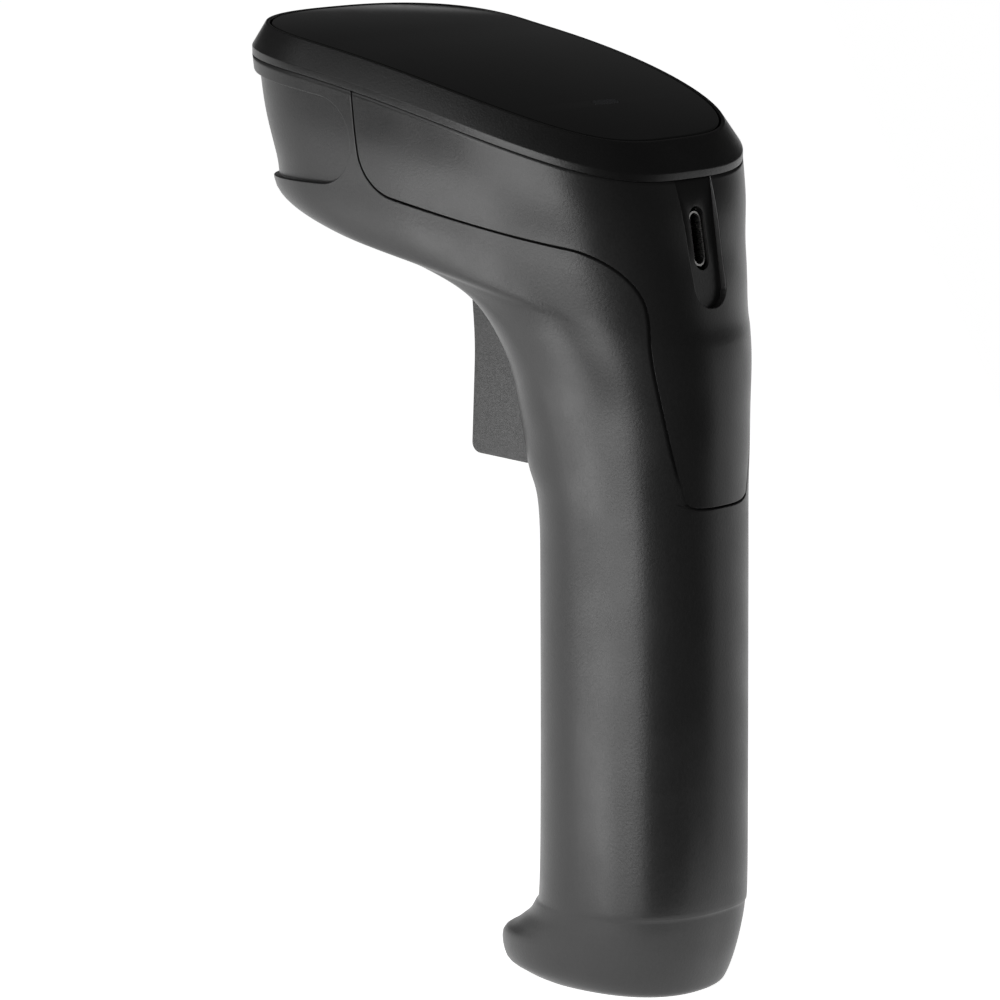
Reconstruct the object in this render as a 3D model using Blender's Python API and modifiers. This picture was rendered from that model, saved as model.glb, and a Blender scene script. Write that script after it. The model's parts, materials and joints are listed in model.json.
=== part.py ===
"""Handheld cordless barcode scanner with a pistol grip, modelled as separate pieces.

Run with: blender --background --python part.py

Frame: +Z up along the grip, the scan window looks to -Y, and the scanner is symmetric about X = 0.
The origin is on the grip's axis, on the flat underside of the base. Blender's unit is the metre,
and every number below is in millimetres, scaled by MM when a mesh is made.
"""

import math

import bmesh
import bpy
from mathutils import Matrix, Vector

MM = 0.001
GAP = 0.3  # clearance between pieces that meet

# Outer body: closed cross-sections from the rim of the head down to the flat of the base.
# z front, z back, bow, y front, y back, y of widest point, half width, front power, back power
SECTIONS = (
    (153.2, 134.2, 3.0, -69.2, 10.0, -46.0, 31.2, 2.55, 3.1),
    (144.5, 128.5, 2.6, -67.9, 11.6, -45.0, 30.7, 2.6, 2.9),
    (136.5, 122.0, 2.2, -66.4, 12.8, -43.0, 29.6, 2.6, 2.7),
    (130.0, 117.0, 2.0, -65.4, 13.8, -40.0, 28.6, 2.6, 2.6),
    (125.6, 111.0, 1.7, -56.4, 14.7, -34.0, 26.9, 2.5, 2.5),
    (121.9, 107.0, 1.2, -38.6, 15.6, -23.0, 24.3, 2.4, 2.45),
    (116.6, 102.5, 0.6, -27.6, 16.1, -13.0, 21.7, 2.3, 2.4),
    (107.0, 95.0, 0.2, -22.2, 16.3, -6.5, 18.9, 2.25, 2.4),
    (96.0, 88.5, 0.0, -20.4, 16.2, -2.8, 17.6, 2.2, 2.4),
    (87.5, 82.5, 0.0, -19.1, 16.1, -1.4, 16.9, 2.2, 2.4),
    (80.5, 76.5, 0.0, -16.9, 16.2, -0.6, 16.45, 2.2, 2.4),
    (64.0, 64.0, 0.0, -16.8, 16.3, 0.0, 16.15, 2.2, 2.4),
    (20.0, 20.0, 0.0, -17.2, 16.4, 0.0, 16.0, 2.2, 2.4),
    (12.5, 13.5, 0.0, -18.7, 16.0, -0.5, 15.8, 2.2, 2.4),
    (8.7, 10.0, 0.0, -22.9, 15.5, -1.5, 15.6, 2.2, 2.4),
    (6.2, 6.6, 0.0, -26.6, 14.8, -2.5, 15.2, 2.2, 2.4),
    (2.2, 3.2, 0.0, -26.0, 13.7, -3.0, 14.6, 2.2, 2.4),
    (0.9, 0.8, 0.0, -22.9, 12.7, -3.0, 13.5, 2.2, 2.4),
    (0.0, 0.0, 0.0, -19.7, 11.8, -3.0, 12.2, 2.2, 2.4),
)
RING_POINTS = 48
OUTER_STEPS = (0, 1, 2, 2.5, 3, 3.5, 4, 5, 6, 6.5, 7, 8, 9, 9.5, 10, 12,
               12.5, 13, 13.5, 14, 14.5, 15, 15.5, 16, 17, 18)
CAVITY_STEPS = (0, 1.5, 3, 4, 5, 6, 7, 9, 10, 12)
WALL = 2.2
CAVITY_LIFT = 1.9
CAVITY_FLOOR = 3.0
FOOT_INSET = 4.5  # of the cavity's floor

# Side-view outline (y, z, corner radius) of the back cover's share of the body.
SEAM = (
    (-37.4, 175.0, 0.0),
    (-35.1, 132.1, 8.0),
    (9.8, 122.3, 12.0),
    (14.7, 81.1, 2.0),
    (60.0, 81.1, 0.0),
    (60.0, 175.0, 0.0),
)
# Side-view outline of the shallow recess that wraps the nose, round at its rear end.
CHEEK_RADIUS = 7.4
CHEEK_REAR = (-44.2, 139.9)
CHEEK_DEPTH = 1.0
NOSE_LEAN = math.radians(9.5)

# Bezel cross-section (inset from the rim outline, height above it), and the inlay it frames.
BEZEL_SECTION = (
    (0.0, 0.3), (0.0, 1.2), (3.1, 5.0), (3.5, 5.1), (3.6, 3.6), (5.4, 3.6),
    (5.4, -2.0), (3.0, -2.0), (2.8, 0.3),
)
# Round the nose the bezel's chamfer stands this much steeper and taller.
NOSE_REACH = 1.1
NOSE_RISE = 0.6
INLAY_SECTION = ((3.9, 3.9), (3.9, 4.8), (4.2, 5.05))

# Places of the groups of pieces.
WINDOW_CENTRE = (0.0, -63.4, 141.4)
BOARD_CENTRE = (0.0, -20.0, 138.6)
BOARD_LEAN = math.radians(-13.5)
COVER_SCREW = (23.5, -44.0)    # x, y
ENGINE_POSTS = (12.8, 16.0)    # x, y on the window axis
BOARD_POSTS = (13.5, -15.0)    # x, y on the board plane
PORT_LEAN = math.radians(9.1)
PORT_CENTRE = (0.0, 11.3, 124.7)
TRIGGER_PIVOT = (0.0, -20.5, 118.0)
PIN_RADIUS = 1.2
PIN_HOLE_RADIUS = 1.32
TRIGGER_HALF_WIDTH = 7.2
SPRING_Y = -11.6
SPRING_Z = (114.45, 123.7)
SPRING_TURNS = 5
SWITCH_FACE = -12.2
SWITCH_Z = 100.0
INDICATOR_Y = -8.0
BATTERY_RADIUS = 9.2
BATTERY_Z = (8.0, 73.0)
BATTERY_Y = 0.6
SCREW_RADIUS = 0.9
PILOT_RADIUS = 1.05


def material(name, colour, roughness, metallic=0.0, alpha=1.0):
    made = bpy.data.materials.new(name)
    made.use_nodes = True
    shader = made.node_tree.nodes["Principled BSDF"]
    shader.inputs["Base Color"].default_value = (*colour, 1.0)
    shader.inputs["Roughness"].default_value = roughness
    shader.inputs["Metallic"].default_value = metallic
    shader.inputs["Alpha"].default_value = alpha
    return made


def group(name):
    made = bpy.data.collections.new(name)
    bpy.context.scene.collection.children.link(made)
    return made


for leftover in list(bpy.data.objects):
    bpy.data.objects.remove(leftover)
PARTS = group("handheld_barcode_scanner")
CUTTERS = group("cutters")
CUTTERS.hide_render = True

GRIP = material("grip_plastic", (0.05, 0.05, 0.052), 0.5)
COVER = material("cover_plastic", (0.045, 0.045, 0.047), 0.45)
BEZEL = material("bezel_plastic", (0.02, 0.02, 0.021), 0.6)
GLOSS = material("gloss_panel", (0.012, 0.012, 0.013), 0.08)
TRIGGER = material("trigger_plastic", (0.06, 0.06, 0.062), 0.65)
LIGHT = material("light_pipe", (0.5, 0.55, 0.6), 0.3, alpha=0.6)
WINDOW = material("scan_window_glass", (0.25, 0.03, 0.03), 0.05, alpha=0.4)
LENS = material("lens_glass", (0.1, 0.12, 0.2), 0.03, alpha=0.5)
FOAM = material("foam", (0.03, 0.03, 0.03), 0.95)
BOARD = material("circuit_board", (0.02, 0.16, 0.06), 0.45)
CHIP = material("chip_plastic", (0.015, 0.015, 0.015), 0.5)
STEEL = material("steel", (0.6, 0.6, 0.6), 0.3, 1.0)
BRACKET = material("bracket_plastic", (0.1, 0.1, 0.1), 0.6)
BATTERY = material("battery_sleeve", (0.05, 0.12, 0.35), 0.4)
LEAD_RED = material("red_insulation", (0.5, 0.02, 0.02), 0.45)
LEAD_BLACK = material("black_insulation", (0.02, 0.02, 0.02), 0.45)
CONNECTOR = material("connector_plastic", (0.75, 0.73, 0.66), 0.5)
ENGINE = material("engine_plastic", (0.03, 0.03, 0.03), 0.55)


def empty(name, place, lean=0.0):
    """A parent at a point in millimetres, leaning about X."""
    made = bpy.data.objects.new(name, None)
    made.location = [value * MM for value in place]
    made.rotation_euler = (lean, 0.0, 0.0)
    PARTS.objects.link(made)
    return made


def add(name, bm, finish=None, parent=None):
    """Turns a bmesh in millimetres into an object: a part if it has a material, else a cutter."""
    bmesh.ops.recalc_face_normals(bm, faces=bm.faces)
    bmesh.ops.scale(bm, vec=(MM, MM, MM), verts=bm.verts)
    mesh = bpy.data.meshes.new(name)
    bm.to_mesh(mesh)
    bm.free()
    made = bpy.data.objects.new(name, mesh)
    made.parent = parent
    if finish is None:
        made.hide_render = True
        made.display_type = "WIRE"
        CUTTERS.objects.link(made)
    else:
        mesh.materials.append(finish)
        PARTS.objects.link(made)
    return made


def combine(target, other, operation="DIFFERENCE"):
    step = target.modifiers.new(f"{operation.lower()}_{other.name}", "BOOLEAN")
    step.object = other
    step.operation = operation
    step.solver = "EXACT"
    return target


def rounded_edges(target, width, segments=2):
    bevel = target.modifiers.new("rounded_edges", "BEVEL")
    bevel.width = width * MM
    bevel.segments = segments
    bevel.limit_method = "ANGLE"
    bevel.angle_limit = math.radians(40)
    return target


def smooth(target):
    target.data.shade_smooth()
    target.data.set_sharp_from_angle(angle=math.radians(35))
    return target


def block(name, low, high, finish=None, parent=None):
    """A box between two corners."""
    bm = bmesh.new()
    bmesh.ops.create_cube(bm, size=1.0)
    size = [b - a for a, b in zip(low, high)]
    middle = [(a + b) / 2 for a, b in zip(low, high)]
    bmesh.ops.scale(bm, vec=size, verts=bm.verts)
    bmesh.ops.translate(bm, vec=middle, verts=bm.verts)
    return add(name, bm, finish, parent)


def rod(name, start, end, radius, finish=None, parent=None, sides=20, end_radius=None):
    """A cylinder or a cone between two points."""
    bm = bmesh.new()
    line = Vector(end) - Vector(start)
    top = radius if end_radius is None else end_radius
    bmesh.ops.create_cone(bm, cap_ends=True, segments=sides, radius1=radius, radius2=top,
                          depth=line.length)
    turn = line.to_track_quat("Z", "Y").to_matrix().to_4x4()
    middle = Matrix.Translation((Vector(start) + Vector(end)) / 2)
    bmesh.ops.transform(bm, matrix=middle @ turn, verts=bm.verts)
    return add(name, bm, finish, parent)


def corner_arcs(corners, segments=6):
    """Points of a closed outline whose corners (u, v, radius) are rounded."""
    points = []
    count = len(corners)
    for i, (u, v, radius) in enumerate(corners):
        here = Vector((u, v))
        if radius <= 0:
            points.append(here)
            continue
        before = (Vector(corners[i - 1][:2]) - here).normalized()
        after = (Vector(corners[(i + 1) % count][:2]) - here).normalized()
        half = before.angle(after) / 2
        centre = here + (before + after).normalized() * radius / math.sin(half)
        start = here + before * radius / math.tan(half) - centre
        end = here + after * radius / math.tan(half) - centre
        sweep = start.angle_signed(end)
        for k in range(segments + 1):
            points.append(centre + Matrix.Rotation(-sweep * k / segments, 2) @ start)
    return points


def grown(corners, distance):
    """The same closed outline with each side moved out by a distance (in, if negative)."""
    count = len(corners)
    area = sum(corners[i - 1][0] * corners[i][1] - corners[i][0] * corners[i - 1][1]
               for i in range(count))
    turn = 1.0 if area > 0 else -1.0
    moved = []
    for i, (u, v, radius) in enumerate(corners):
        here = Vector((u, v))
        into = (here - Vector(corners[i - 1][:2])).normalized()
        out = (Vector(corners[(i + 1) % count][:2]) - here).normalized()
        into_normal = Vector((into.y, -into.x)) * turn
        out_normal = Vector((out.y, -out.x)) * turn
        mitre = (into_normal + out_normal).normalized()
        here = here + mitre * distance / mitre.dot(out_normal)
        convex = (into.x * out.y - into.y * out.x) * turn > 0
        radius = radius + (distance if convex else -distance) if radius else 0.0
        moved.append((here.x, here.y, radius))
    return moved


def prism(name, outline, low, high, axis="X", finish=None, parent=None):
    """An outline extruded along X from (y, z) points, along Y from (x, z) or along Z from (x, y)."""
    place = {
        "X": lambda u, v, w: (w, u, v),
        "Y": lambda u, v, w: (u, w, v),
        "Z": lambda u, v, w: (u, v, w),
    }[axis]
    bm = bmesh.new()
    face = bm.faces.new([bm.verts.new(place(u, v, low)) for u, v in outline])
    made = bmesh.ops.extrude_face_region(bm, geom=[face])["geom"]
    verts = [part for part in made if isinstance(part, bmesh.types.BMVert)]
    bmesh.ops.translate(bm, vec=place(0.0, 0.0, high - low), verts=verts)
    return add(name, bm, finish, parent)


def plate_outline(half_u, half_v, radius):
    return corner_arcs([(-half_u, -half_v, radius), (half_u, -half_v, radius),
                        (half_u, half_v, radius), (-half_u, half_v, radius)])


def section(step):
    """The cross-section at a position along SECTIONS, by Catmull-Rom interpolation."""
    last = len(SECTIONS) - 1
    i = min(int(step), last - 1)
    f = step - i
    rows = [SECTIONS[max(i - 1, 0)], SECTIONS[i], SECTIONS[i + 1], SECTIONS[min(i + 2, last)]]
    return [0.5 * (2 * b + (c - a) * f + (2 * a - 5 * b + 4 * c - d) * f ** 2
                   + (3 * b - a - 3 * c + d) * f ** 3) for a, b, c, d in zip(*rows)]


def ring(step, inset=0.0, lift=0.0):
    """Points of one closed cross-section, moved in by inset and up by lift."""
    z_front, z_back, bow, y_front, y_back, y_wide, half_width, front_power, back_power = section(step)
    flat = []
    for k in range(RING_POINTS):
        angle = 2 * math.pi * k / RING_POINTS
        along, across = math.cos(angle), math.sin(angle)
        power = 2 / (front_power if along >= 0 else back_power)
        reach = (y_front if along >= 0 else y_back) - y_wide
        flat.append(Vector((math.copysign(abs(across) ** power, across) * half_width,
                            y_wide + reach * abs(along) ** power)))
    points = []
    for k, here in enumerate(flat):
        tangent = flat[(k + 1) % RING_POINTS] - flat[k - 1]
        moved = here + Vector((tangent.y, -tangent.x)).normalized() * -inset
        if k in (0, RING_POINTS // 2):
            moved.x = 0.0
        f = (moved.y - y_front) / (y_back - y_front)
        bulge = bow * (1 - (2 * f - 1) ** 2)
        points.append((moved.x, moved.y, z_front + (z_back - z_front) * f + bulge + lift))
    return points


def rim_ring(inset, lift):
    """A ring above the rim outline: from the chamfer up, it leans out and rises round the nose."""
    level = min(1.0, max(0.0, (lift - 1.2) / 2.4))
    plain = ring(0, inset, lift)
    nose = ring(0, inset - NOSE_REACH * level, lift + NOSE_RISE * level)
    points = []
    for side_point, nose_point in zip(plain, nose):
        share = min(1.0, max(0.0, (-45.0 - side_point[1]) / 25.0))
        points.append(Vector(side_point).lerp(Vector(nose_point), share))
    return points


def rim_height(y):
    z_front, z_back, bow, y_front, y_back = SECTIONS[0][:5]
    f = (y - y_front) / (y_back - y_front)
    return z_front + (z_back - z_front) * f + bow * (1 - (2 * f - 1) ** 2)


def loft(name, rings, finish=None):
    """A closed body through rings of equal point count, capped by strips from side to side."""
    bm = bmesh.new()
    rows = [[bm.verts.new(point) for point in points] for points in rings]
    for upper, lower in zip(rows, rows[1:]):
        for k in range(RING_POINTS):
            bm.faces.new((upper[k - 1], upper[k], lower[k], lower[k - 1]))
    for row in (rows[0], rows[-1]):
        for k in range(RING_POINTS // 2):
            strip = [row[k], row[k + 1], row[RING_POINTS - k - 1], row[-k]]
            bm.faces.new(list(dict.fromkeys(strip)))
    return add(name, bm, finish)


def hoop(name, profile, finish=None):
    """A closed band along the rim outline, through a profile of (inset, height) points."""
    bm = bmesh.new()
    rows = [[bm.verts.new(point) for point in rim_ring(inset, lift)] for inset, lift in profile]
    for i, row in enumerate(rows):
        for k in range(RING_POINTS):
            bm.faces.new((rows[i - 1][k - 1], rows[i - 1][k], row[k], row[k - 1]))
    return add(name, bm, finish)


def outer_body(name, finish=None, inset=0.0):
    return smooth(loft(name, [ring(step, inset) for step in OUTER_STEPS], finish))


def cavity(name):
    """The hollow inside the body, open at the rim and ending above the base."""
    rings = [ring(0, WALL, 8.0)]
    rings += [ring(step, WALL, CAVITY_LIFT) for step in CAVITY_STEPS]
    rings.append([(x, y, CAVITY_FLOOR) for x, y, _ in ring(CAVITY_STEPS[-1], FOOT_INSET)])
    return loft(name, rings)


def tube(name, points, radius, finish):
    """A wire through points, as a mesh: the curve's caps are welded."""
    curve = bpy.data.curves.new(name, "CURVE")
    curve.dimensions = "3D"
    curve.bevel_depth = radius * MM
    curve.bevel_resolution = 2
    curve.use_fill_caps = True
    spline = curve.splines.new("POLY")
    spline.points.add(len(points) - 1)
    for target, (x, y, z) in zip(spline.points, points):
        target.co = (x * MM, y * MM, z * MM, 1.0)
    guide = bpy.data.objects.new(name + "_curve", curve)
    PARTS.objects.link(guide)
    graph = bpy.context.evaluated_depsgraph_get()
    mesh = bpy.data.meshes.new_from_object(guide.evaluated_get(graph))
    bpy.data.objects.remove(guide)
    bm = bmesh.new()
    bm.from_mesh(mesh)
    bmesh.ops.remove_doubles(bm, verts=bm.verts, dist=1e-6)
    bmesh.ops.recalc_face_normals(bm, faces=bm.faces)
    bm.to_mesh(mesh)
    bm.free()
    mesh.materials.clear()
    mesh.materials.append(finish)
    made = bpy.data.objects.new(name, mesh)
    PARTS.objects.link(made)
    return smooth(made)


def smooth_route(corners, steps=6):
    """Points of a Catmull-Rom curve through the corners of a route."""
    ends = [corners[0], *corners, corners[-1]]
    points = []
    for i in range(len(corners) - 1):
        rows = ends[i:i + 4]
        for k in range(steps):
            f = k / steps
            points.append([0.5 * (2 * b + (c - a) * f + (2 * a - 5 * b + 4 * c - d) * f ** 2
                                  + (3 * b - a - 3 * c + d) * f ** 3) for a, b, c, d in zip(*rows)])
    points.append(list(corners[-1]))
    return points


def screw(name, place, length, parent=None):
    """A pan-head screw with a cross slot, its head's seat at the given place, pointing down."""
    x, y, z = place
    made = rod(name, (x, y, z), (x, y, z + 1.2), 1.9, STEEL, parent)
    shank = rod(name + "_shank", (x, y, z - length), (x, y, z + 0.4), SCREW_RADIUS, None, parent, 12)
    combine(made, shank, "UNION")
    for label, across, along in (("a", 1.2, 0.25), ("b", 0.25, 1.2)):
        low = (x - across, y - along, z + 0.6)
        combine(made, block(f"{name}_slot_{label}", low, (x + across, y + along, z + 2), None, parent))
    return smooth(made)


window_frame = empty("window_axis", WINDOW_CENTRE, NOSE_LEAN)
board_frame = empty("board_plane", BOARD_CENTRE, BOARD_LEAN)
port_frame = empty("port_axis", PORT_CENTRE, PORT_LEAN)


def cheek_cutter():
    """What is cut away around the nose: a round-ended band, down to a slightly smaller body."""
    y, z = CHEEK_REAR
    top = z + CHEEK_RADIUS
    corners = ((-90.0, z - CHEEK_RADIUS, 0.0),
               (y + CHEEK_RADIUS, z - CHEEK_RADIUS, CHEEK_RADIUS - 0.1),
               (y + CHEEK_RADIUS, top - 1.2, CHEEK_RADIUS - 0.3),
               (-90.0, top + 7.1, 0.0))
    band = prism("cheek_band", corner_arcs(corners, 8), -60.0, 60.0)
    return combine(band, outer_body("cheek_core", None, CHEEK_DEPTH))


def housing_cavity():
    """The housing's hollow, less the window frame, the posts and the screw bosses left standing."""
    hollow = cavity("housing_hollow")
    keeps = [block("window_surround", (-17.6, -8.0, -8.6), (17.6, 0.8, 8.6), None, window_frame)]
    for side, sign in (("right", 1), ("left", -1)):
        x, y = ENGINE_POSTS
        keeps.append(rod(f"engine_post_{side}", (sign * x, y, -30.0), (sign * x, y, -7.7), 2.4,
                         None, window_frame, 16))
        x, y = BOARD_POSTS
        keeps.append(rod(f"board_post_{side}", (sign * x, y, -30.0), (sign * x, y, -0.9), 2.4,
                         None, board_frame, 16))
        x, y = COVER_SCREW
        top = rim_height(y) - 2.6
        low = (min(sign * 20.9, sign * 33.0), y - 2.6, top - 9.0)
        high = (max(sign * 20.9, sign * 33.0), y + 2.6, top)
        keeps.append(block(f"cover_boss_{side}", low, high))
    for keep in keeps:
        combine(hollow, keep)
    return hollow


def main_housing():
    """Nose, underside of the head, front of the grip, lower grip and base, as one moulding."""
    made = outer_body("main_housing", GRIP)
    combine(made, cheek_cutter())
    combine(made, housing_cavity())
    opening = prism("window_opening", plate_outline(14.2, 6.0, 2.5), -14.0, 4.0, "Y", None, window_frame)
    combine(made, opening)
    seat = prism("window_seat", plate_outline(16.4, 7.8, 1.8), 0.0, 6.0, "Y", None, window_frame)
    combine(made, seat)
    slot = prism("trigger_slot", ((-33.5, 85.1), (-8.0, 85.1), (-8.0, 121.6), (-33.5, 121.6)),
                 -TRIGGER_HALF_WIDTH - 0.4, TRIGGER_HALF_WIDTH + 0.4)
    combine(made, slot)
    for side, sign in (("right", 1), ("left", -1)):
        x, y = ENGINE_POSTS
        combine(made, rod(f"engine_pilot_{side}", (sign * x, y, -14.5), (sign * x, y, -6.0),
                          PILOT_RADIUS, None, window_frame, 12))
        x, y = BOARD_POSTS
        combine(made, rod(f"board_pilot_{side}", (sign * x, y, -8.0), (sign * x, y, 1.0),
                          PILOT_RADIUS, None, board_frame, 12))
        x, y = COVER_SCREW
        top = rim_height(y)
        combine(made, rod(f"cover_pilot_{side}", (sign * x, y, top - 9.5), (sign * x, y, top),
                          PILOT_RADIUS, None, None, 12))
    combine(made, prism("back_share", corner_arcs(SEAM), -60.0, 60.0))
    return made


def back_cover():
    """Rear of the head and upper back of the grip, with the charging recess."""
    made = outer_body("back_cover", COVER)
    combine(made, prism("back_limit", corner_arcs(grown(SEAM, -GAP)), -60.0, 60.0), "INTERSECT")
    combine(made, cavity("cover_hollow"))
    recess = corner_arcs(((-5.0, 16.0, 0.0), (-3.95, -11.4, 3.8), (3.95, -11.4, 3.8), (5.0, 16.0, 0.0)))
    combine(made, prism("charging_recess", recess, 0.0, 20.0, "Y", None, port_frame))
    combine(made, prism("port_cutout", plate_outline(1.9, 5.2, 1.85), -12.0, 5.0, "Y", None, port_frame))
    return made


def top_bezel():
    """Chamfered frame of the head, with two tabs that the cover screws hold."""
    made = hoop("top_bezel", BEZEL_SECTION, BEZEL)
    for side, sign in (("right", 1), ("left", -1)):
        x, y = COVER_SCREW
        top = rim_height(y)
        low = (min(sign * 20.9, sign * 27.2), y - 2.6, top - 1.9)
        high = (max(sign * 20.9, sign * 27.2), y + 2.6, top - 0.4)
        combine(made, block(f"bezel_tab_{side}", low, high), "UNION")
        combine(made, rod(f"bezel_hole_{side}", (sign * x, y, top - 4), (sign * x, y, top + 1), 1.2,
                          None, None, 12))
        screw(f"cover_screw_{side}", (sign * x, y, top - 0.1), 7.5)
    return smooth(made)


def top_inlay():
    """Glossy panel in the bezel, and the light pipe that shows through it."""
    made = loft("top_inlay", [rim_ring(inset, lift) for inset, lift in INLAY_SECTION], GLOSS)
    y, z = INDICATOR_Y, rim_height(INDICATOR_Y)
    hole = prism("indicator_hole", [(u, v + y) for u, v in plate_outline(3.4, 1.1, 1.0)],
                 z, z + 9.0, "Z")
    combine(made, hole)
    pipe = [(u, v + y) for u, v in plate_outline(3.1, 0.8, 0.75)]
    prism("indicator_light_pipe", pipe, z - 1.6, z + 4.9, "Z", LIGHT)
    return smooth(made)


def scan_window():
    """Window and the foam gasket that seats it, seen from inside the nose frame."""
    gasket = prism("window_gasket", plate_outline(16.1, 7.5, 1.5), GAP, 1.1, "Y", FOAM, window_frame)
    opening = prism("gasket_opening", plate_outline(14.4, 6.2, 2.0), 0.0, 2.0, "Y", None, window_frame)
    combine(gasket, opening)
    prism("scan_window", plate_outline(15.9, 7.3, 1.5), 1.4, 2.9, "Y", WINDOW, window_frame)


def scan_engine():
    """Camera module behind the window: housing, lens, aimer, illumination, board and bracket."""
    parent = window_frame
    engine = block("engine_housing", (-10.5, 7.0, -5.8), (10.5, 20.0, 5.8), ENGINE, parent)
    rounded_edges(engine, 0.6)
    combine(engine, rod("lens_bore", (0, 5, 0), (0, 10.2, 0), 3.8, None, parent))
    combine(engine, rod("aimer_bore", (6.8, 5, 0), (6.8, 9.6, 0), 2.0, None, parent))
    combine(engine, block("lamp_pocket", (-9.3, 5, -3.3), (-4.5, 9.6, 3.3), None, parent))
    barrel = rod("lens_barrel", (0, 4.6, 0), (0, 9.8, 0), 3.4, CHIP, parent, 24)
    combine(barrel, rod("barrel_bore", (0, 4.0, 0), (0, 6.6, 0), 2.7, None, parent))
    rod("imaging_lens", (0, 5.2, 0), (0, 6.3, 0), 2.4, LENS, parent, 24)
    rod("aimer_lens", (6.8, 6.2, 0), (6.8, 9.2, 0), 1.6, LENS, parent)
    block("illumination_lens", (-9.0, 6.2, -3.0), (-4.8, 9.2, 3.0), LIGHT, parent)
    block("engine_board", (-10.5, 20.3, -5.6), (10.5, 21.3, 5.6), BOARD, parent)
    bracket = block("engine_bracket", (-15.4, 8.0, -7.3), (15.4, 21.3, -6.1), STEEL, parent)
    for side, sign in (("right", 1), ("left", -1)):
        x, y = ENGINE_POSTS
        combine(bracket, rod(f"bracket_hole_{side}", (sign * x, y, -9), (sign * x, y, -5), 1.2,
                             None, parent, 12))
        screw(f"engine_screw_{side}", (sign * x, y, -5.8), 6.0, parent)


def main_board():
    """Main circuit board below the inlay, with what is soldered to it."""
    parent = board_frame
    outline = corner_arcs(((-17.0, -19.0, 2.0), (17.0, -19.0, 2.0), (17.0, 4.0, 2.0),
                           (12.0, 21.5, 2.0), (-12.0, 21.5, 2.0), (-17.0, 4.0, 2.0)), 3)
    board = prism("main_board", outline, -0.6, 0.6, "Z", BOARD, parent)
    for side, sign in (("right", 1), ("left", -1)):
        x, y = BOARD_POSTS
        combine(board, rod(f"board_hole_{side}", (sign * x, y, -2), (sign * x, y, 2), 1.2,
                           None, parent, 12))
        screw(f"board_screw_{side}", (sign * x, y, 0.9), 6.0, parent)
    block("processor_chip", (-5.5, -9.0, 0.9), (4.5, 1.0, 2.1), CHIP, parent)
    block("radio_module", (6.5, -10.0, 0.9), (15.5, 4.0, 2.9), STEEL, parent)
    rod("buzzer", (-11.0, -4.0, 0.9), (-11.0, -4.0, 4.1), 4.5, CHIP, parent, 24)
    block("status_led", (-1.0, 11.2, 0.9), (1.0, 12.8, 1.9), CONNECTOR, parent)
    block("battery_connector", (2.5, 14.0, -4.0), (9.5, 18.5, -0.9), CONNECTOR, parent)


def charging_port():
    """USB-C receptacle standing on edge behind the cut-out, on its own upright board."""
    parent = port_frame
    shell = prism("charge_port_shell", plate_outline(1.58, 4.47, 1.55), -7.6, -0.5, "Y", STEEL, parent)
    combine(shell, prism("port_mouth", plate_outline(1.28, 4.17, 1.25), -6.6, 3.0, "Y", None, parent))
    block("charge_port_tongue", (-0.35, -6.3, -3.3), (0.35, -1.6, 3.3), CHIP, parent)
    block("port_board", (-3.1, -11.5, -6.5), (-2.0, -2.6, 6.5), BOARD, parent)


def battery_pack():
    """Cell in the grip, in a half-round cradle on a foam pad, with its two leads."""
    y = BATTERY_Y
    low, high = BATTERY_Z
    cell = rod("battery_cell", (0, y, low), (0, y, high), BATTERY_RADIUS, BATTERY, sides=32)
    rounded_edges(cell, 0.8)
    button = rod("cell_button", (0, y, high - 1), (0, y, high + 1.3), 2.8)
    combine(cell, button, "UNION")
    inner, outer = BATTERY_RADIUS + GAP, BATTERY_RADIUS + 2.0
    cradle = rod("battery_cradle", (0, y, low - 1.9), (0, y, high + 2.5), outer, BRACKET, sides=32)
    combine(cradle, rod("cradle_bore", (0, y, low - 0.3), (0, y, high + 9), inner, sides=32))
    combine(cradle, block("cradle_front", (-20, y - 30, low - 0.3), (20, y - 2.5, high + 9)))
    prism("battery_pad", [(u, v + y) for u, v in plate_outline(7.0, 7.0, 3.0)], 3.4, low - 2.3, "Z", FOAM)
    for name, finish, x in (("battery_lead_red", LEAD_RED, 4.6), ("battery_lead_black", LEAD_BLACK, 7.2)):
        route = ((x, -3.0, high + 0.8), (x, -2.0, high + 6.0), (x, 3.0, 96.0), (x, 3.0, 112.0),
                 (x, -1.0, 122.0), (x, -3.6, 129.4))
        tube(name, smooth_route(route), 0.6, finish)


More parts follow.
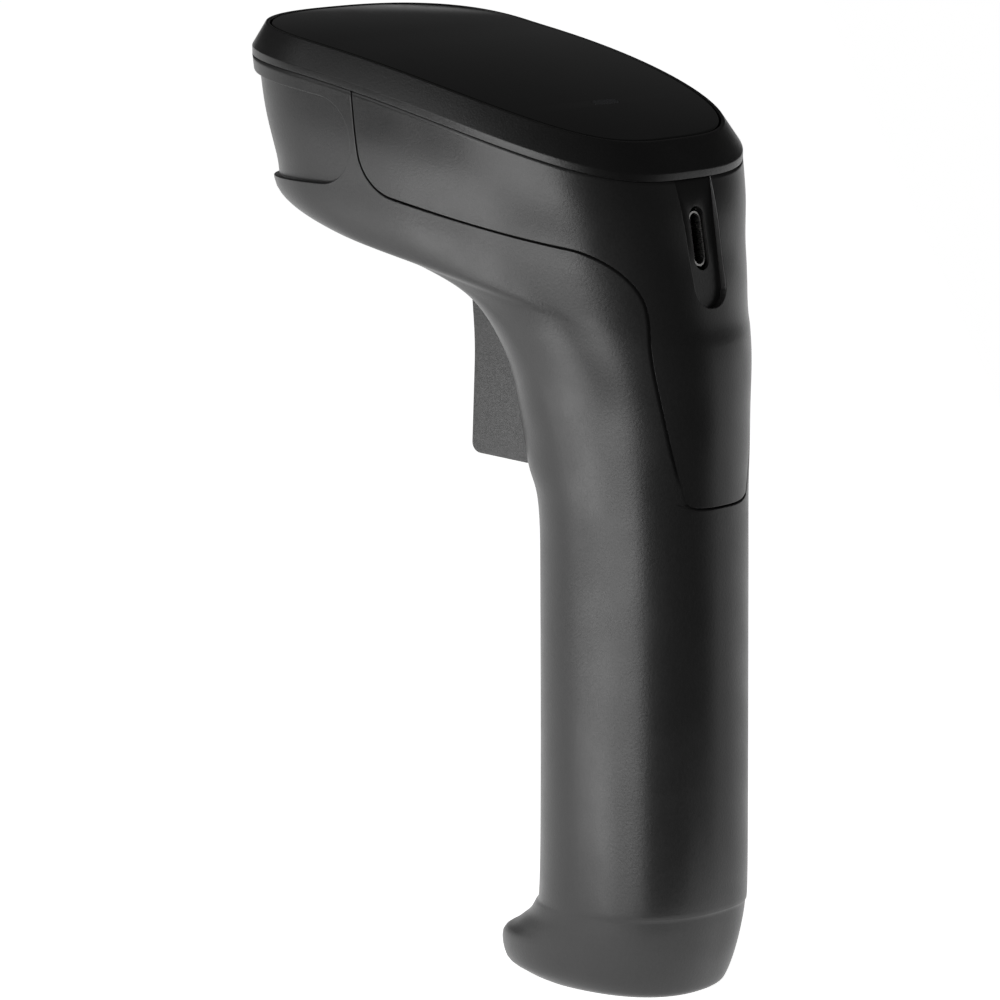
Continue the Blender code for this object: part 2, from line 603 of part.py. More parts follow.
def trigger_group():
    """Trigger, its pin, return spring and bracket, and the switch that it presses."""
    _, py, pz = TRIGGER_PIVOT
    pivot = empty("trigger_pivot", TRIGGER_PIVOT)
    half = TRIGGER_HALF_WIDTH
    corners = ((-31.3, 120.4, 1.0), (-30.1, 105.0, 60.0), (-30.9, 86.7, 1.8), (-18.2, 85.8, 1.0),
               (-18.2, 112.0, 2.0), (-9.2, 112.0, 0.5), (-9.2, 113.8, 0.5), (-17.7, 113.8, 1.0),
               (-17.7, 120.4, 1.0))
    outline = [(u - py, v - pz) for u, v in corner_arcs(corners, 4)]
    trigger = prism("trigger", outline, -half, half, "X", TRIGGER, pivot)
    rounded_edges(trigger, 1.2)
    combine(trigger, block("trigger_hollow", (-half + 1.5, -28.9 - py, 88.7 - pz),
                           (half - 1.5, 20.0, 111.5 - pz), None, pivot))
    striker_end = SWITCH_FACE - 1.5
    combine(trigger, rod("trigger_striker", (0, -29.5 - py, SWITCH_Z - pz),
                         (0, striker_end - py, SWITCH_Z - pz), 1.8, None, pivot, 12), "UNION")
    combine(trigger, rod("trigger_bore", (-20, 0, 0), (20, 0, 0), PIN_HOLE_RADIUS, None, pivot, 16))
    rod("trigger_pin", (-9.8, py, pz), (9.8, py, pz), PIN_RADIUS, STEEL, sides=16)

    bracket = block("trigger_bracket", (-9.4, -22.8, 124.2), (9.4, -6.0, 125.4), BRACKET)
    for side, sign in (("right", 1), ("left", -1)):
        cheek = block(f"bracket_cheek_{side}", (min(sign * 8.0, sign * 9.4), -22.0, 116.3),
                      (max(sign * 8.0, sign * 9.4), -14.0, 124.6))
        combine(bracket, cheek, "UNION")
    combine(bracket, block("bracket_back", (-9.4, -7.2, 88.0), (9.4, -6.0, 124.6)), "UNION")
    combine(bracket, rod("bracket_pin_hole", (-20, py, pz), (20, py, pz), PIN_HOLE_RADIUS, sides=16))
    boss = rod("spring_seat_boss", (0, SPRING_Y, 122.2), (0, SPRING_Y, 124.6), 1.1, sides=12)
    combine(bracket, boss, "UNION")

    low, high = SPRING_Z
    steps = 12 * SPRING_TURNS
    coil = []
    for k in range(steps + 1):
        angle = 2 * math.pi * k / 12
        coil.append((2.0 * math.cos(angle), SPRING_Y + 2.0 * math.sin(angle),
                     low + (high - low) * k / steps))
    tube("trigger_spring", coil, 0.25, STEEL)

    face = SWITCH_FACE
    block("switch_board", (-7.5, face + 3.3, 91.0), (7.5, face + 4.4, 108.0), BOARD)
    switch = block("trigger_switch", (-3.2, face, SWITCH_Z - 3.2), (3.2, face + 3.0, SWITCH_Z + 3.2), CHIP)
    combine(switch, rod("plunger_bore", (0, face - 1, SWITCH_Z), (0, face + 2.3, SWITCH_Z), 1.4, sides=16))
    rod("switch_plunger", (0, face - 1.2, SWITCH_Z), (0, face + 0.6, SWITCH_Z), 1.1, BRACKET, sides=16)


main_housing()
back_cover()
top_bezel()
top_inlay()
scan_window()
scan_engine()
main_board()
charging_port()
battery_pack()
trigger_group()
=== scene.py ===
"""Looks of the handheld barcode scanner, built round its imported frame.

+Z runs up the grip, the scan window looks to -Y, and X = 0 is the mirror plane. Shapes are
worked out in millimetres, the frame's own, and scaled to metres when a piece is made.
"""

import json
import math

import bmesh
import bpy
from mathutils import Euler, Matrix, Vector
from mathutils.bvhtree import BVHTree
from mathutils.interpolate import poly_3d_calc


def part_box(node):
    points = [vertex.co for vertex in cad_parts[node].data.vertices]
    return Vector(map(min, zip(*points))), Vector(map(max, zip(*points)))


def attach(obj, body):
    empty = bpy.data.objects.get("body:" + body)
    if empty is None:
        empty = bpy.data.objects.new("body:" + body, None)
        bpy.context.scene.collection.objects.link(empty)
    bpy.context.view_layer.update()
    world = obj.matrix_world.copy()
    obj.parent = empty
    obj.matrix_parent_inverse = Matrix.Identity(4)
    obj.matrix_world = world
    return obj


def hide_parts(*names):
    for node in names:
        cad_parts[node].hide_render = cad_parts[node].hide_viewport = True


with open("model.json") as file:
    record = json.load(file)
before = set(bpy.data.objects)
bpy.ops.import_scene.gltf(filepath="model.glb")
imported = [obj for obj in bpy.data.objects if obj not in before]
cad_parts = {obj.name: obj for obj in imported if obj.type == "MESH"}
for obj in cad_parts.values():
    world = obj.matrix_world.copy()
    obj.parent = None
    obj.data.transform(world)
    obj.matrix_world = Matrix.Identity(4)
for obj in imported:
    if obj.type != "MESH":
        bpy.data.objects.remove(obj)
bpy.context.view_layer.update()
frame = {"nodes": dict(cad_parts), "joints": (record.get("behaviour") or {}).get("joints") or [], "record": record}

MM = 0.001
BODY = "scanner_body"
GAP = 0.3

# Outer body, as in the CAD: closed cross-sections from the rim of the head down to the base.
# z front, z back, bow, y front, y back, y of widest point, half width, front power, back power
SECTIONS = (
    (153.2, 134.2, 3.0, -69.2, 10.0, -46.0, 31.2, 2.55, 3.1),
    (144.5, 128.5, 2.6, -67.9, 11.6, -45.0, 30.7, 2.6, 2.9),
    (136.5, 122.0, 2.2, -66.4, 12.8, -43.0, 29.6, 2.6, 2.7),
    (130.0, 117.0, 2.0, -65.4, 13.8, -40.0, 28.6, 2.6, 2.6),
    (125.6, 111.0, 1.7, -56.4, 14.7, -34.0, 26.9, 2.5, 2.5),
    (121.9, 107.0, 1.2, -38.6, 15.6, -23.0, 24.3, 2.4, 2.45),
    (116.6, 102.5, 0.6, -27.6, 16.1, -13.0, 21.7, 2.3, 2.4),
    (107.0, 95.0, 0.2, -22.2, 16.3, -6.5, 18.9, 2.25, 2.4),
    (96.0, 88.5, 0.0, -20.4, 16.2, -2.8, 17.6, 2.2, 2.4),
    (87.5, 82.5, 0.0, -19.1, 16.1, -1.4, 16.9, 2.2, 2.4),
    (80.5, 76.5, 0.0, -16.9, 16.2, -0.6, 16.45, 2.2, 2.4),
    (64.0, 64.0, 0.0, -16.8, 16.3, 0.0, 16.15, 2.2, 2.4),
    (20.0, 20.0, 0.0, -17.2, 16.4, 0.0, 16.0, 2.2, 2.4),
    (12.5, 13.5, 0.0, -18.7, 16.0, -0.5, 15.8, 2.2, 2.4),
    (8.7, 10.0, 0.0, -22.9, 15.5, -1.5, 15.6, 2.2, 2.4),
    (6.2, 6.6, 0.0, -26.6, 14.8, -2.5, 15.2, 2.2, 2.4),
    (2.2, 3.2, 0.0, -26.0, 13.7, -3.0, 14.6, 2.2, 2.4),
    (0.9, 0.8, 0.0, -22.9, 12.7, -3.0, 13.5, 2.2, 2.4),
    (0.0, 0.0, 0.0, -19.7, 11.8, -3.0, 12.2, 2.2, 2.4),
)
RING_POINTS = 160
ROW_SPACING = 1.3   # along the body, between the rows of its surface
WALL = 2.2
CAVITY_LIFT = 1.9
CAVITY_FLOOR = 3.0
FOOT_INSET = 4.5
CAVITY_STEPS = (0, 1.5, 3, 4, 5, 6, 7, 9, 10, 12)

# Side-view outline (y, z, corner radius) of the back cover's share of the body.
SEAM = ((-37.4, 175.0, 0.0), (-35.1, 132.1, 8.0), (9.8, 122.3, 12.0), (14.7, 81.1, 2.0),
        (60.0, 81.1, 0.0), (60.0, 175.0, 0.0))
CHEEK_RADIUS = 7.4
CHEEK_REAR = (-44.2, 139.9)
CHEEK_DEPTH = 1.0
NOSE_LEAN = math.radians(9.5)
PORT_LEAN = math.radians(9.1)
EDGE = 0.18         # rounding of the mouldings' cut edges
CREASE_ANGLE = math.radians(32)
SLOT_GAP = 0.4      # at each side of the trigger in its slot
STRIKER_GAP = 0.45  # between the trigger's striker and the plunger, so they stay clear when pulled
SIDE_REACH = 60.0   # prisms that cut across the body end this far out

# Bezel cross-section: inset from the rim outline, height above it, corner radius.
BEZEL_SECTION = ((0.0, 0.13, 0.08), (0.0, 1.35, 0.45), (3.05, 5.1, 0.35), (3.6, 5.1, 0.2),
                 (3.6, 3.6, 0.0), (5.4, 3.6, 0.0), (5.4, -2.0, 0.0), (3.0, -2.0, 0.0),
                 (2.8, 0.3, 0.0))
NOSE_REACH = 1.1    # round the nose the chamfer stands this much steeper
NOSE_RISE = 0.6     # and this much taller
PIPE_GAP = 0.08     # round the light pipe in the panel
INLAY_SECTION = ((3.9, 3.9), (3.9, 4.75), (3.95, 4.92), (4.08, 5.03), (4.25, 5.06))


def cad_box(node):
    """A CAD node's lowest and highest corners in millimetres."""
    return [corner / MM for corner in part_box(node)]


def cad_middle(node):
    low, high = cad_box(node)
    return (low + high) / 2


# ---------------------------------------------------------------- mesh work

def placed(name, data):
    """A new object of the scene."""
    made = bpy.data.objects.new(name, data)
    bpy.context.scene.collection.objects.link(made)
    return made


def new_object(name, bm):
    """Turns a bmesh into an object in the same units."""
    bmesh.ops.recalc_face_normals(bm, faces=bm.faces)
    mesh = bpy.data.meshes.new(name)
    bm.to_mesh(mesh)
    bm.free()
    return placed(name, mesh)


def discard(*objects):
    for thing in objects:
        bpy.data.objects.remove(thing)


def place_key(part):
    """Sorts vertices, edges and faces by where they are."""
    verts = [part] if isinstance(part, bmesh.types.BMVert) else part.verts
    return sum((v.co.x + 3.1 * v.co.y + 7.3 * v.co.z for v in verts), 0.0) / len(verts)


def in_order(mesh):
    """Puts a mesh's parts in an order of their own, as a cut leaves them in a chance order."""
    bm = bmesh.new()
    bm.from_mesh(mesh)
    for parts in (bm.verts, bm.edges, bm.faces):
        parts.sort(key=place_key)
    bm.to_mesh(mesh)
    bm.free()


def applied(target):
    """Applies a target's modifiers."""
    graph = bpy.context.evaluated_depsgraph_get()
    mesh = bpy.data.meshes.new_from_object(target.evaluated_get(graph))
    in_order(mesh)
    target.modifiers.clear()
    target.data = mesh
    return target


def cut(target, *cutters, operation="DIFFERENCE"):
    """Cuts, joins or limits a target by other objects, which are then gone."""
    for cutter in cutters:
        step = target.modifiers.new(cutter.name, "BOOLEAN")
        step.object = cutter
        step.operation = operation
        step.solver = "EXACT"
    applied(target)
    discard(*cutters)
    return target


def corner_arcs(corners, segments=8):
    """Points of a closed outline whose corners (u, v, radius) are rounded."""
    points = []
    count = len(corners)
    for i, (u, v, radius) in enumerate(corners):
        here = Vector((u, v))
        if radius <= 0:
            points.append(here)
            continue
        before = (Vector(corners[i - 1][:2]) - here).normalized()
        after = (Vector(corners[(i + 1) % count][:2]) - here).normalized()
        half = before.angle(after) / 2
        centre = here + (before + after).normalized() * radius / math.sin(half)
        start = here + before * radius / math.tan(half) - centre
        end = here + after * radius / math.tan(half) - centre
        sweep = start.angle_signed(end)
        for k in range(segments + 1):
            points.append(centre + Matrix.Rotation(-sweep * k / segments, 2) @ start)
    return points


def grown(corners, distance):
    """The same closed outline with each side moved out by a distance (in, if negative)."""
    count = len(corners)
    area = sum(corners[i - 1][0] * corners[i][1] - corners[i][0] * corners[i - 1][1]
               for i in range(count))
    turn = 1.0 if area > 0 else -1.0
    moved = []
    for i, (u, v, radius) in enumerate(corners):
        here = Vector((u, v))
        into = (here - Vector(corners[i - 1][:2])).normalized()
        out = (Vector(corners[(i + 1) % count][:2]) - here).normalized()
        into_normal = Vector((into.y, -into.x)) * turn
        out_normal = Vector((out.y, -out.x)) * turn
        mitre = (into_normal + out_normal).normalized()
        here = here + mitre * distance / mitre.dot(out_normal)
        convex = (into.x * out.y - into.y * out.x) * turn > 0
        radius = radius + (distance if convex else -distance) if radius else 0.0
        moved.append((here.x, here.y, radius))
    return moved


def prism(name, outline, low, high, axis="X", place=None):
    """An outline extruded along X from (y, z) points, Y from (x, z) or Z from (x, y)."""
    spot = {
        "X": lambda u, v, w: (w, u, v),
        "Y": lambda u, v, w: (u, w, v),
        "Z": lambda u, v, w: (u, v, w),
    }[axis]
    bm = bmesh.new()
    face = bm.faces.new([bm.verts.new(spot(u, v, low)) for u, v in outline])
    made = bmesh.ops.extrude_face_region(bm, geom=[face])["geom"]
    verts = [part for part in made if isinstance(part, bmesh.types.BMVert)]
    bmesh.ops.translate(bm, vec=spot(0.0, 0.0, high - low), verts=verts)
    if place is not None:
        bmesh.ops.transform(bm, matrix=place, verts=bm.verts)
    return new_object(name, bm)


def block(name, low, high, place=None):
    outline = ((low[0], low[1]), (high[0], low[1]), (high[0], high[1]), (low[0], high[1]))
    return prism(name, outline, low[2], high[2], "Z", place)


def rod(name, start, end, radius, sides=24):
    bm = bmesh.new()
    line = Vector(end) - Vector(start)
    bmesh.ops.create_cone(bm, cap_ends=True, segments=sides, radius1=radius, radius2=radius,
                          depth=line.length)
    turn = line.to_track_quat("Z", "Y").to_matrix().to_4x4()
    middle = Matrix.Translation((Vector(start) + Vector(end)) / 2)
    bmesh.ops.transform(bm, matrix=middle @ turn, verts=bm.verts)
    return new_object(name, bm)


def plate_outline(half_u, half_v, radius):
    return corner_arcs([(-half_u, -half_v, radius), (half_u, -half_v, radius),
                        (half_u, half_v, radius), (-half_u, half_v, radius)])


def leaning(place, lean):
    """The matrix of a plane at a point in millimetres, leaning about X."""
    return Matrix.Translation(place) @ Matrix.Rotation(lean, 4, "X")


# ---------------------------------------------------------------- the body's form

def catmull_rom(a, b, c, d, f):
    """The value between b and c, at a fraction of the way, with a and d as their neighbours."""
    return 0.5 * (2 * b + (c - a) * f + (2 * a - 5 * b + 4 * c - d) * f ** 2
                  + (3 * b - a - 3 * c + d) * f ** 3)


def section(step):
    """The cross-section at a position along SECTIONS, by Catmull-Rom interpolation."""
    last = len(SECTIONS) - 1
    i = min(int(step), last - 1)
    f = step - i
    rows = [SECTIONS[max(i - 1, 0)], SECTIONS[i], SECTIONS[i + 1], SECTIONS[min(i + 2, last)]]
    return [catmull_rom(*values, f) for values in zip(*rows)]


def ring(step, inset=0.0, lift=0.0, count=RING_POINTS):
    """Points of one closed cross-section, moved in by inset and up by lift."""
    (z_front, z_back, bow, y_front, y_back,
     y_wide, half_width, front_power, back_power) = section(step)
    flat = []
    for k in range(count):
        angle = 2 * math.pi * k / count
        along, across = math.cos(angle), math.sin(angle)
        power = 2 / (front_power if along >= 0 else back_power)
        reach = (y_front if along >= 0 else y_back) - y_wide
        flat.append(Vector((math.copysign(abs(across) ** power, across) * half_width,
                            y_wide + reach * abs(along) ** power)))
    points = []
    for k, here in enumerate(flat):
        tangent = flat[(k + 1) % count] - flat[k - 1]
        moved = here + Vector((tangent.y, -tangent.x)).normalized() * -inset
        if k in (0, count // 2):
            moved.x = 0.0
        f = (moved.y - y_front) / (y_back - y_front)
        bulge = bow * (1 - (2 * f - 1) ** 2)
        points.append((moved.x, moved.y, z_front + (z_back - z_front) * f + bulge + lift))
    return points


def rim_ring(inset, lift, count=240):
    """A ring above the rim outline: from the chamfer up, it leans out and rises round the nose."""
    level = min(1.0, max(0.0, (lift - 1.2) / 2.4))
    plain = ring(0, inset, lift, count)
    nose = ring(0, inset - NOSE_REACH * level, lift + NOSE_RISE * level, count)
    points = []
    for side_point, nose_point in zip(plain, nose):
        share = min(1.0, max(0.0, (-45.0 - side_point[1]) / 25.0))
        points.append(Vector(side_point).lerp(Vector(nose_point), share))
    return points


def rim_height(y):
    z_front, z_back, bow, y_front, y_back = SECTIONS[0][:5]
    f = (y - y_front) / (y_back - y_front)
    return z_front + (z_back - z_front) * f + bow * (1 - (2 * f - 1) ** 2)


def body_steps():
    """Positions along SECTIONS about ROW_SPACING apart on the surface."""
    steps = []
    for i, (upper, lower) in enumerate(zip(SECTIONS, SECTIONS[1:])):
        travel = max(abs(upper[k] - lower[k]) for k in (0, 1, 3, 4))
        count = min(14, max(4, math.ceil(travel / ROW_SPACING)))
        steps += [i + k / count for k in range(count)]
    return steps + [len(SECTIONS) - 1]


def loft(name, rings):
    """A closed body through rings of equal point count, capped by strips from side to side."""
    bm = bmesh.new()
    count = len(rings[0])
    rows = [[bm.verts.new(point) for point in points] for points in rings]
    for upper, lower in zip(rows, rows[1:]):
        for k in range(count):
            bm.faces.new((upper[k - 1], upper[k], lower[k], lower[k - 1]))
    for row in (rows[0], rows[-1]):
        for k in range(count // 2):
            strip = [row[k], row[k + 1], row[count - k - 1], row[-k]]
            bm.faces.new(list(dict.fromkeys(strip)))
    return new_object(name, bm)


def hoop(name, profile, count=240):
    """A closed band along the rim outline, through a profile of (inset, height) points."""
    bm = bmesh.new()
    rows = [[bm.verts.new(point) for point in rim_ring(inset, lift, count)]
            for inset, lift in profile]
    for i, row in enumerate(rows):
        for k in range(count):
            bm.faces.new((rows[i - 1][k - 1], rows[i - 1][k], row[k], row[k - 1]))
    return new_object(name, bm)


def outer_body(name, inset=0.0):
    return loft(name, [ring(step, inset) for step in body_steps()])


def cavity(name):
    """The hollow inside the body, open at the rim and ending above the base."""
    rings = [ring(0, WALL, 8.0, 64)]
    rings += [ring(step, WALL, CAVITY_LIFT, 64) for step in CAVITY_STEPS]
    rings.append([(x, y, CAVITY_FLOOR) for x, y, _ in ring(CAVITY_STEPS[-1], FOOT_INSET, 0.0, 64)])
    return loft(name, rings)


# ---------------------------------------------------------------- clean edges and shading

class Form:
    """A smooth surface that cut mouldings take their shading from."""

    def __init__(self, source):
        mesh = source.data
        self.points = [v.co.copy() for v in mesh.vertices]
        self.normals = [v.normal.copy() for v in mesh.vertices]
        self.faces = [tuple(p.vertices) for p in mesh.polygons]
        self.tree = BVHTree.FromPolygons(self.points, self.faces)
        discard(source)

    def normal(self, point, reach=0.03):
        """The smooth normal at a point on the form, or None if the point is off it."""
        place, _, index, _ = self.tree.find_nearest(point, reach)
        if place is None:
            return None
        face = self.faces[index]
        weights = poly_3d_calc([self.points[i] for i in face], place)
        blend = Vector()
        for i, weight in zip(face, weights):
            blend += self.normals[i] * weight
        return blend.normalized()


def round_cut_edges(target, forms, width):
    """Rounds the sharp edges that lie on the forms, with even spacing along and beside them."""
    bm = bmesh.new()
    bm.from_mesh(target.data)
    bmesh.ops.remove_doubles(bm, verts=bm.verts, dist=0.01)
    spacing = width * 2.2

    def on_line():
        bm.verts.index_update()
        return sorted({v for e in creases() for v in e.verts}, key=lambda v: v.index)

    def on_form(face):
        centre = face.calc_center_median()
        found = [form.normal(centre) for form in forms]
        return any(normal is not None and normal.dot(face.normal) > 0.9 for normal in found)

    def creases():
        return [e for e in bm.edges if len(e.link_faces) == 2
                and e.calc_face_angle(0.0) > CREASE_ANGLE
                and sum(map(on_form, e.link_faces)) == 1]

    for edge in creases():
        pieces = int(edge.calc_length() / spacing)
        if pieces > 1:
            bmesh.ops.subdivide_edges(bm, edges=[edge], cuts=pieces - 1)
    line = on_line()
    bmesh.ops.remove_doubles(bm, verts=line, dist=spacing * 0.55)
    line = on_line()
    members = set(line)
    tree = BVHTree.FromPolygons([v.co for v in line], [(i, i, i) for i in range(len(line))],
                                epsilon=0.0)
    near = {}
    for vert in bm.verts:
        if vert not in members:
            place, _, index, _ = tree.find_nearest(vert.co, spacing * 0.8)
            if place is not None:
                near[vert] = line[index]
    bmesh.ops.weld_verts(bm, targetmap=near)
    bmesh.ops.dissolve_degenerate(bm, dist=0.005, edges=bm.edges)
    bmesh.ops.bevel(bm, geom=creases(), offset=width, offset_type="OFFSET", segments=2,
                    profile=0.5, affect="EDGES", clamp_overlap=False)
    bm.to_mesh(target.data)
    bm.free()
    return target


def smooth(target, angle=35):
    target.data.shade_smooth()
    target.data.set_sharp_from_angle(angle=math.radians(angle))
    return target


def bevelled(target, name, width, segments):
    """Adds a bevel of the sharp edges to a target."""
    bevel = target.modifiers.new(name, "BEVEL")
    bevel.width = width
    bevel.segments = segments
    bevel.limit_method = "ANGLE"
    bevel.angle_limit = math.radians(40)
    return target


def shade_from(target, forms):
    """Smooth shading, with the forms' own normals wherever the surface lies on one of them."""
    mesh = smooth(target).data
    known = [[form.normal(v.co) for v in mesh.vertices] for form in forms]
    corners = [Vector() for _ in mesh.loops]
    for face in mesh.polygons:
        if face.normal.z < -0.9999:
            continue
        for normals in known:
            for index in face.loop_indices:
                found = normals[mesh.loops[index].vertex_index]
                if found is not None and found.dot(face.normal) > 0.6:
                    corners[index] = found
    mesh.normals_split_custom_set(corners)
    return target


def piece(name, target, finish, body=BODY, nodes=()):
    """Names a finished shape, scales it to metres and lets it ride on a body."""
    target.name = name
    target.data.transform(Matrix.Scale(MM, 4))
    target.data.materials.clear()
    target.data.materials.append(finish)
    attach(target, body)
    if nodes:
        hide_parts(*nodes)
    return target


# ---------------------------------------------------------------- materials

class Nodes:
    """Short names for building a material's node tree."""

    def __init__(self, name):
        self.material = bpy.data.materials.new(name)
        self.material.use_nodes = True
        self.tree = self.material.node_tree
        self.shader = self.tree.nodes["Principled BSDF"]
        self.place = self.make("ShaderNodeTexCoord").outputs["Object"]

    def make(self, kind, **settings):
        node = self.tree.nodes.new(kind)
        for key, value in settings.items():
            setattr(node, key, value)
        return node

    def link(self, source, target):
        self.tree.links.new(source, target)

    def noise(self, size, detail=3.0, roughness=0.6, distortion=0.0):
        """Noise whose features are about size millimetres across."""
        node = self.make("ShaderNodeTexNoise")
        node.inputs["Scale"].default_value = 1 / (size * MM)
        node.inputs["Detail"].default_value = detail
        node.inputs["Roughness"].default_value = roughness
        node.inputs["Distortion"].default_value = distortion
        self.link(self.place, node.inputs["Vector"])
        return node.outputs["Fac"]

    def cells(self, size, feature="SMOOTH_F1"):
        node = self.make("ShaderNodeTexVoronoi", feature=feature)
        node.inputs["Scale"].default_value = 1 / (size * MM)
        self.link(self.place, node.inputs["Vector"])
        return node.outputs["Distance"]

    def spread(self, value, low, high, from_low=0.3, from_high=0.7):
        node = self.make("ShaderNodeMapRange")
        self.link(value, node.inputs["Value"])
        for key, number in (("From Min", from_low), ("From Max", from_high),
                            ("To Min", low), ("To Max", high)):
            node.inputs[key].default_value = number
        return node.outputs["Result"]

    def ramp(self, value, *stops):
        """A colour ramp through (position, colour) stops."""
        node = self.make("ShaderNodeValToRGB")
        elements = node.color_ramp.elements
        for k, (position, colour) in enumerate(stops):
            element = elements[k] if k < len(elements) else elements.new(position)
            element.position = position
            element.color = (*colour, 1.0)
        self.link(value, node.inputs["Fac"])
        return node.outputs["Color"]

    def add(self, a, b):
        node = self.make("ShaderNodeMath", operation="ADD")
        self.link(a, node.inputs[0])
        self.link(b, node.inputs[1])
        return node.outputs["Value"]

    def bump(self, height, depth, before=None):
        """Relief of about depth millimetres."""
        node = self.make("ShaderNodeBump")
        node.inputs["Strength"].default_value = 1.0
        node.inputs["Distance"].default_value = depth * MM
        self.link(height, node.inputs["Height"])
        if before is not None:
            self.link(before, node.inputs["Normal"])
        return node.outputs["Normal"]

    def set(self, **values):
        for key, value in values.items():
            self.shader.inputs[key.replace("_", " ")].default_value = value
        return self

    def feed(self, **sources):
        for key, source in sources.items():
            self.link(source, self.shader.inputs[key.replace("_", " ")])
        return self


def shades(tone, spread, tint=(1.0, 1.0, 1.0)):
    """Two near colours round a tone."""
    return [tuple(tone * factor * t for t in tint) for factor in (1 - spread, 1 + spread)]


def moulded(name, tone, roughness, grain, depth, tint=(1.0, 1.0, 1.0), spread=0.12,
            rough_spread=0.05, specular=0.5, cells=True):
    """Moulded plastic: a pebbled grain of a given size and depth, with faint cloudiness."""
    n = Nodes(name)
    cloud = n.noise(9.0, 2.0)
    fine = n.noise(grain, 3.0, 0.55, 0.4)
    dark, light = shades(tone, spread, tint)
    n.feed(Base_Color=n.ramp(n.noise(grain * 1.6, 2.0), (0.3, dark), (0.7, light)))
    n.feed(Roughness=n.spread(n.add(cloud, fine), roughness - rough_spread,
                              roughness + rough_spread, 0.7, 1.3))
    height = n.add(fine, n.cells(grain * 1.25)) if cells else fine
    n.feed(Normal=n.bump(height, depth))
    n.set(Specular_IOR_Level=specular)
    return n.material


def polished(name, tone, roughness, tint=(1.0, 1.0, 1.0)):
    """Polished black panel, with the faintest waviness and a film of dust in its roughness."""
    n = Nodes(name)
    dark, light = shades(tone, 0.15, tint)
    n.feed(Base_Color=n.ramp(n.noise(14.0, 2.0), (0.3, dark), (0.7, light)))
    n.feed(Roughness=n.spread(n.noise(5.0, 5.0), roughness * 0.8, roughness * 1.5))
    n.feed(Normal=n.bump(n.noise(6.0, 1.0), 0.004))
    return n.material


def clear(name, colour, roughness, ior=1.49, transmission=1.0):
    """Clear or smoked moulding that light passes through."""
    n = Nodes(name)
    pale = tuple(min(1.0, c * 1.1) for c in colour)
    n.feed(Base_Color=n.ramp(n.noise(4.0, 2.0), (0.3, colour), (0.7, pale)))
    n.feed(Roughness=n.spread(n.noise(2.0, 4.0), roughness * 0.7, roughness * 1.4))
    n.set(IOR=ior, Transmission_Weight=transmission)
    return n.material


def foam(name):
    n = Nodes(name)
    pores_and_painted_shade = n.cells(0.35, "F1")
    # The pore pattern gives both the bump and the colour: the colour is darker where each pore sinks in, which is
    # painted shade in the pores.
    n.feed(Base_Color=n.ramp(pores_and_painted_shade, (0.1, (0.004, 0.004, 0.004)), (0.7, (0.03, 0.03, 0.031))))
    n.feed(Normal=n.bump(pores_and_painted_shade, 0.12))
    n.set(Roughness=0.95)
    return n.material


def circuit(name):
    """Green solder mask over copper runs, with tinned dots."""
    n = Nodes(name)
    runs = n.make("ShaderNodeTexBrick")
    runs.inputs["Scale"].default_value = 260.0
    runs.inputs["Mortar Size"].default_value = 0.035
    runs.inputs["Color1"].default_value = (0.006, 0.07, 0.028, 1.0)
    runs.inputs["Color2"].default_value = (0.008, 0.085, 0.034, 1.0)
    runs.inputs["Mortar"].default_value = (0.02, 0.17, 0.06, 1.0)
    n.link(n.place, runs.inputs["Vector"])
    dots = n.ramp(n.cells(1.7, "F1"), (0.16, (1.0, 1.0, 1.0)), (0.2, (0.0, 0.0, 0.0)))
    mix = n.make("ShaderNodeMix", data_type="RGBA")
    n.link(dots, mix.inputs["Factor"])
    n.link(runs.outputs["Color"], mix.inputs["A"])
    mix.inputs["B"].default_value = (0.62, 0.6, 0.55, 1.0)
    n.feed(Base_Color=mix.outputs["Result"], Metallic=dots)
    n.feed(Normal=n.bump(runs.outputs["Fac"], 0.03))
    n.feed(Roughness=n.spread(n.noise(3.0), 0.3, 0.45))
    return n.material


def metal(name, tone, roughness, stretch=(1.0, 1.0, 14.0)):
    """Bright steel with fine drawn marks."""
    n = Nodes(name)
    mapping = n.make("ShaderNodeMapping")
    mapping.inputs["Scale"].default_value = stretch
    n.link(n.place, mapping.inputs["Vector"])
    marks = n.make("ShaderNodeTexNoise")
    marks.inputs["Scale"].default_value = 900.0
    marks.inputs["Detail"].default_value = 4.0
    n.link(mapping.outputs["Vector"], marks.inputs["Vector"])
    dark, light = shades(tone, 0.08, (1.0, 0.99, 0.97))
    n.feed(Base_Color=n.ramp(marks.outputs["Fac"], (0.3, dark), (0.7, light)))
    n.feed(Roughness=n.spread(marks.outputs["Fac"], roughness - 0.08, roughness + 0.1))
    n.feed(Normal=n.bump(marks.outputs["Fac"], 0.004))
    n.set(Metallic=1.0)
    return n.material


def tinted(name, colour, roughness, bump_size=0.6, depth=0.01):
    """Coloured sleeve, insulation or nylon with a little mottling."""
    n = Nodes(name)
    dark, light = tuple(c * 0.85 for c in colour), tuple(min(1.0, c * 1.12) for c in colour)
    n.feed(Base_Color=n.ramp(n.noise(2.5, 3.0), (0.3, dark), (0.7, light)))
    n.feed(Roughness=n.spread(n.noise(1.2, 3.0), roughness - 0.06, roughness + 0.08))
    n.feed(Normal=n.bump(n.noise(bump_size, 3.0), depth))
    return n.material


